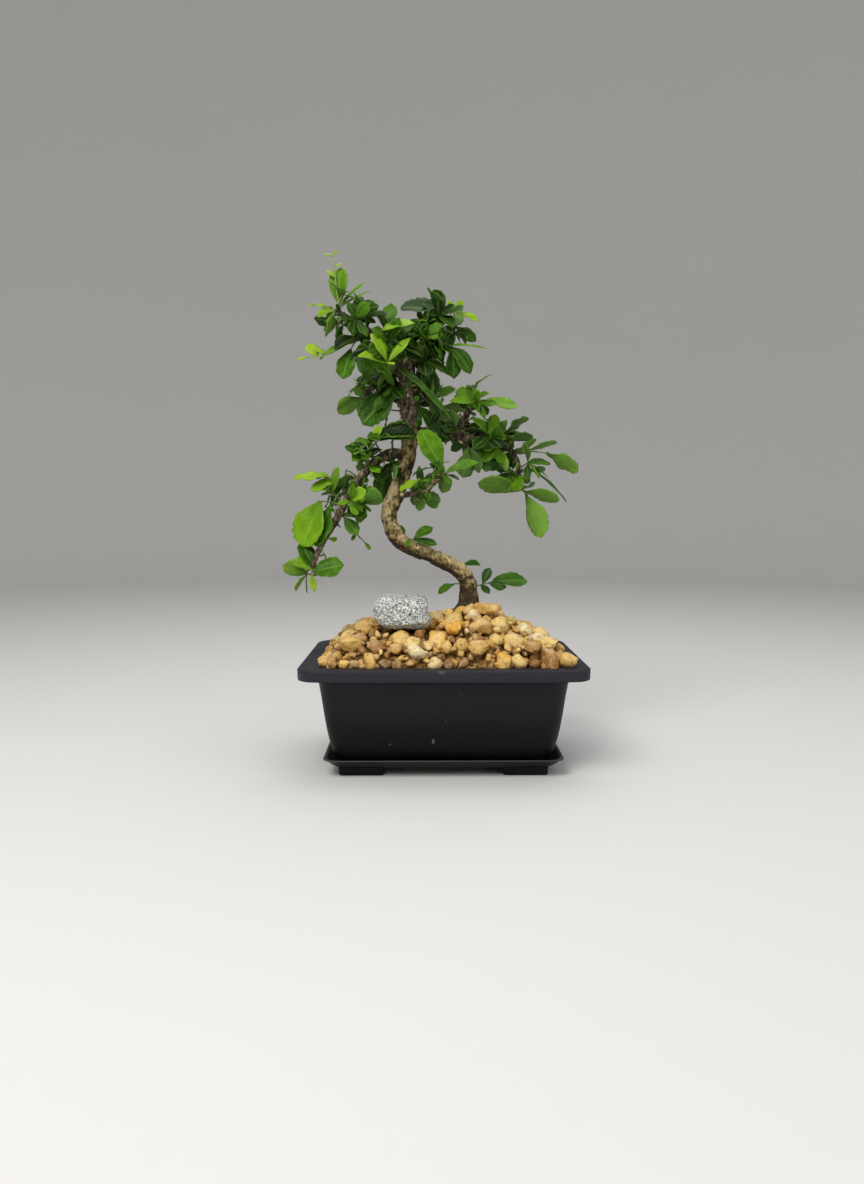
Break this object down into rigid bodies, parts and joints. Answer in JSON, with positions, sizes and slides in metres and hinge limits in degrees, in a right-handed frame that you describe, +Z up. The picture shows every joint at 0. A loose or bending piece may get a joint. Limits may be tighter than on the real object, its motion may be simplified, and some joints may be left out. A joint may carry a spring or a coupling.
{
  "type": "bonsai tree in a pot",
  "caption": "Small bonsai with an S-bent trunk and spreading leafy branches, in a rectangular pot heaped with gravel, on a footed drip tray.",
  "frame": {"origin": "centre of the pot's footprint on the surface the tray's feet stand on", "axes": "+X along the long side of the pot, +Y from its front to its back, +Z up"},
  "size_m": [0.2143, 0.152, 0.3746],
  "materials": {
    "pot_plastic": "near-black injection-moulded plastic, lightly dusty, with a faint sheen",
    "tray_plastic": "thin black vacuum-formed plastic with a glossy edge",
    "soil": null,
    "gravel": null,
    "pale_pebble": null,
    "granite": null,
    "bark": "rough tan-grey bark with darker patches",
    "leaf": null,
    "young_leaf": null
  },
  "bodies": {
    "root": {"drip_tray": "tray_plastic", "pot": "pot_plastic", "soil": "soil", "gravel_bed": "gravel", "granite_stone": "granite", "pebble_trunk": "gravel", "pebble_orange": "gravel", "pebble_cream": "pale_pebble", "pebble_left": "gravel", "pebble_front": "gravel", "pebble_rust": "gravel", "pebble_corner": "gravel", "pebble_back": "gravel", "trunk_and_branches": "bark", "top_leader": "young_leaf", "top_left_tuft": "young_leaf", "top_mid": "leaf", "left_pointer": "young_leaf", "left_drop": "leaf", "crown_peak": "leaf", "crown_rosette": "young_leaf", "crown_yellow": "young_leaf", "crown_cap": "leaf", "crown_star": "young_leaf", "crown_veil": "leaf", "crown_wing": "leaf", "crown_inner": "leaf", "mid_left": "leaf", "mid_dark": "leaf", "left_shoulder": "leaf", "left_reach": "young_leaf", "left_drape": "leaf", "left_dangle": "leaf", "left_tip": "young_leaf", "upper_bend": "leaf", "fork_tip": "leaf", "right_upper": "leaf", "right_reach": "young_leaf", "right_ribbon": "leaf", "right_under": "leaf", "right_dark": "leaf", "right_tip": "leaf", "spur_diamond": "leaf", "spur_low": "young_leaf", "trunk_tuft": "leaf", "bend_tuft": "leaf", "base_right": "leaf", "base_left": "leaf", "crown_back": "leaf", "crown_left_back": "leaf", "back_mid": "leaf", "back_tip": "leaf", "back_left_mid": "leaf", "back_left_tip": "leaf", "right_back": "leaf", "mid_back": "leaf"}
  },
  "joints": []
}
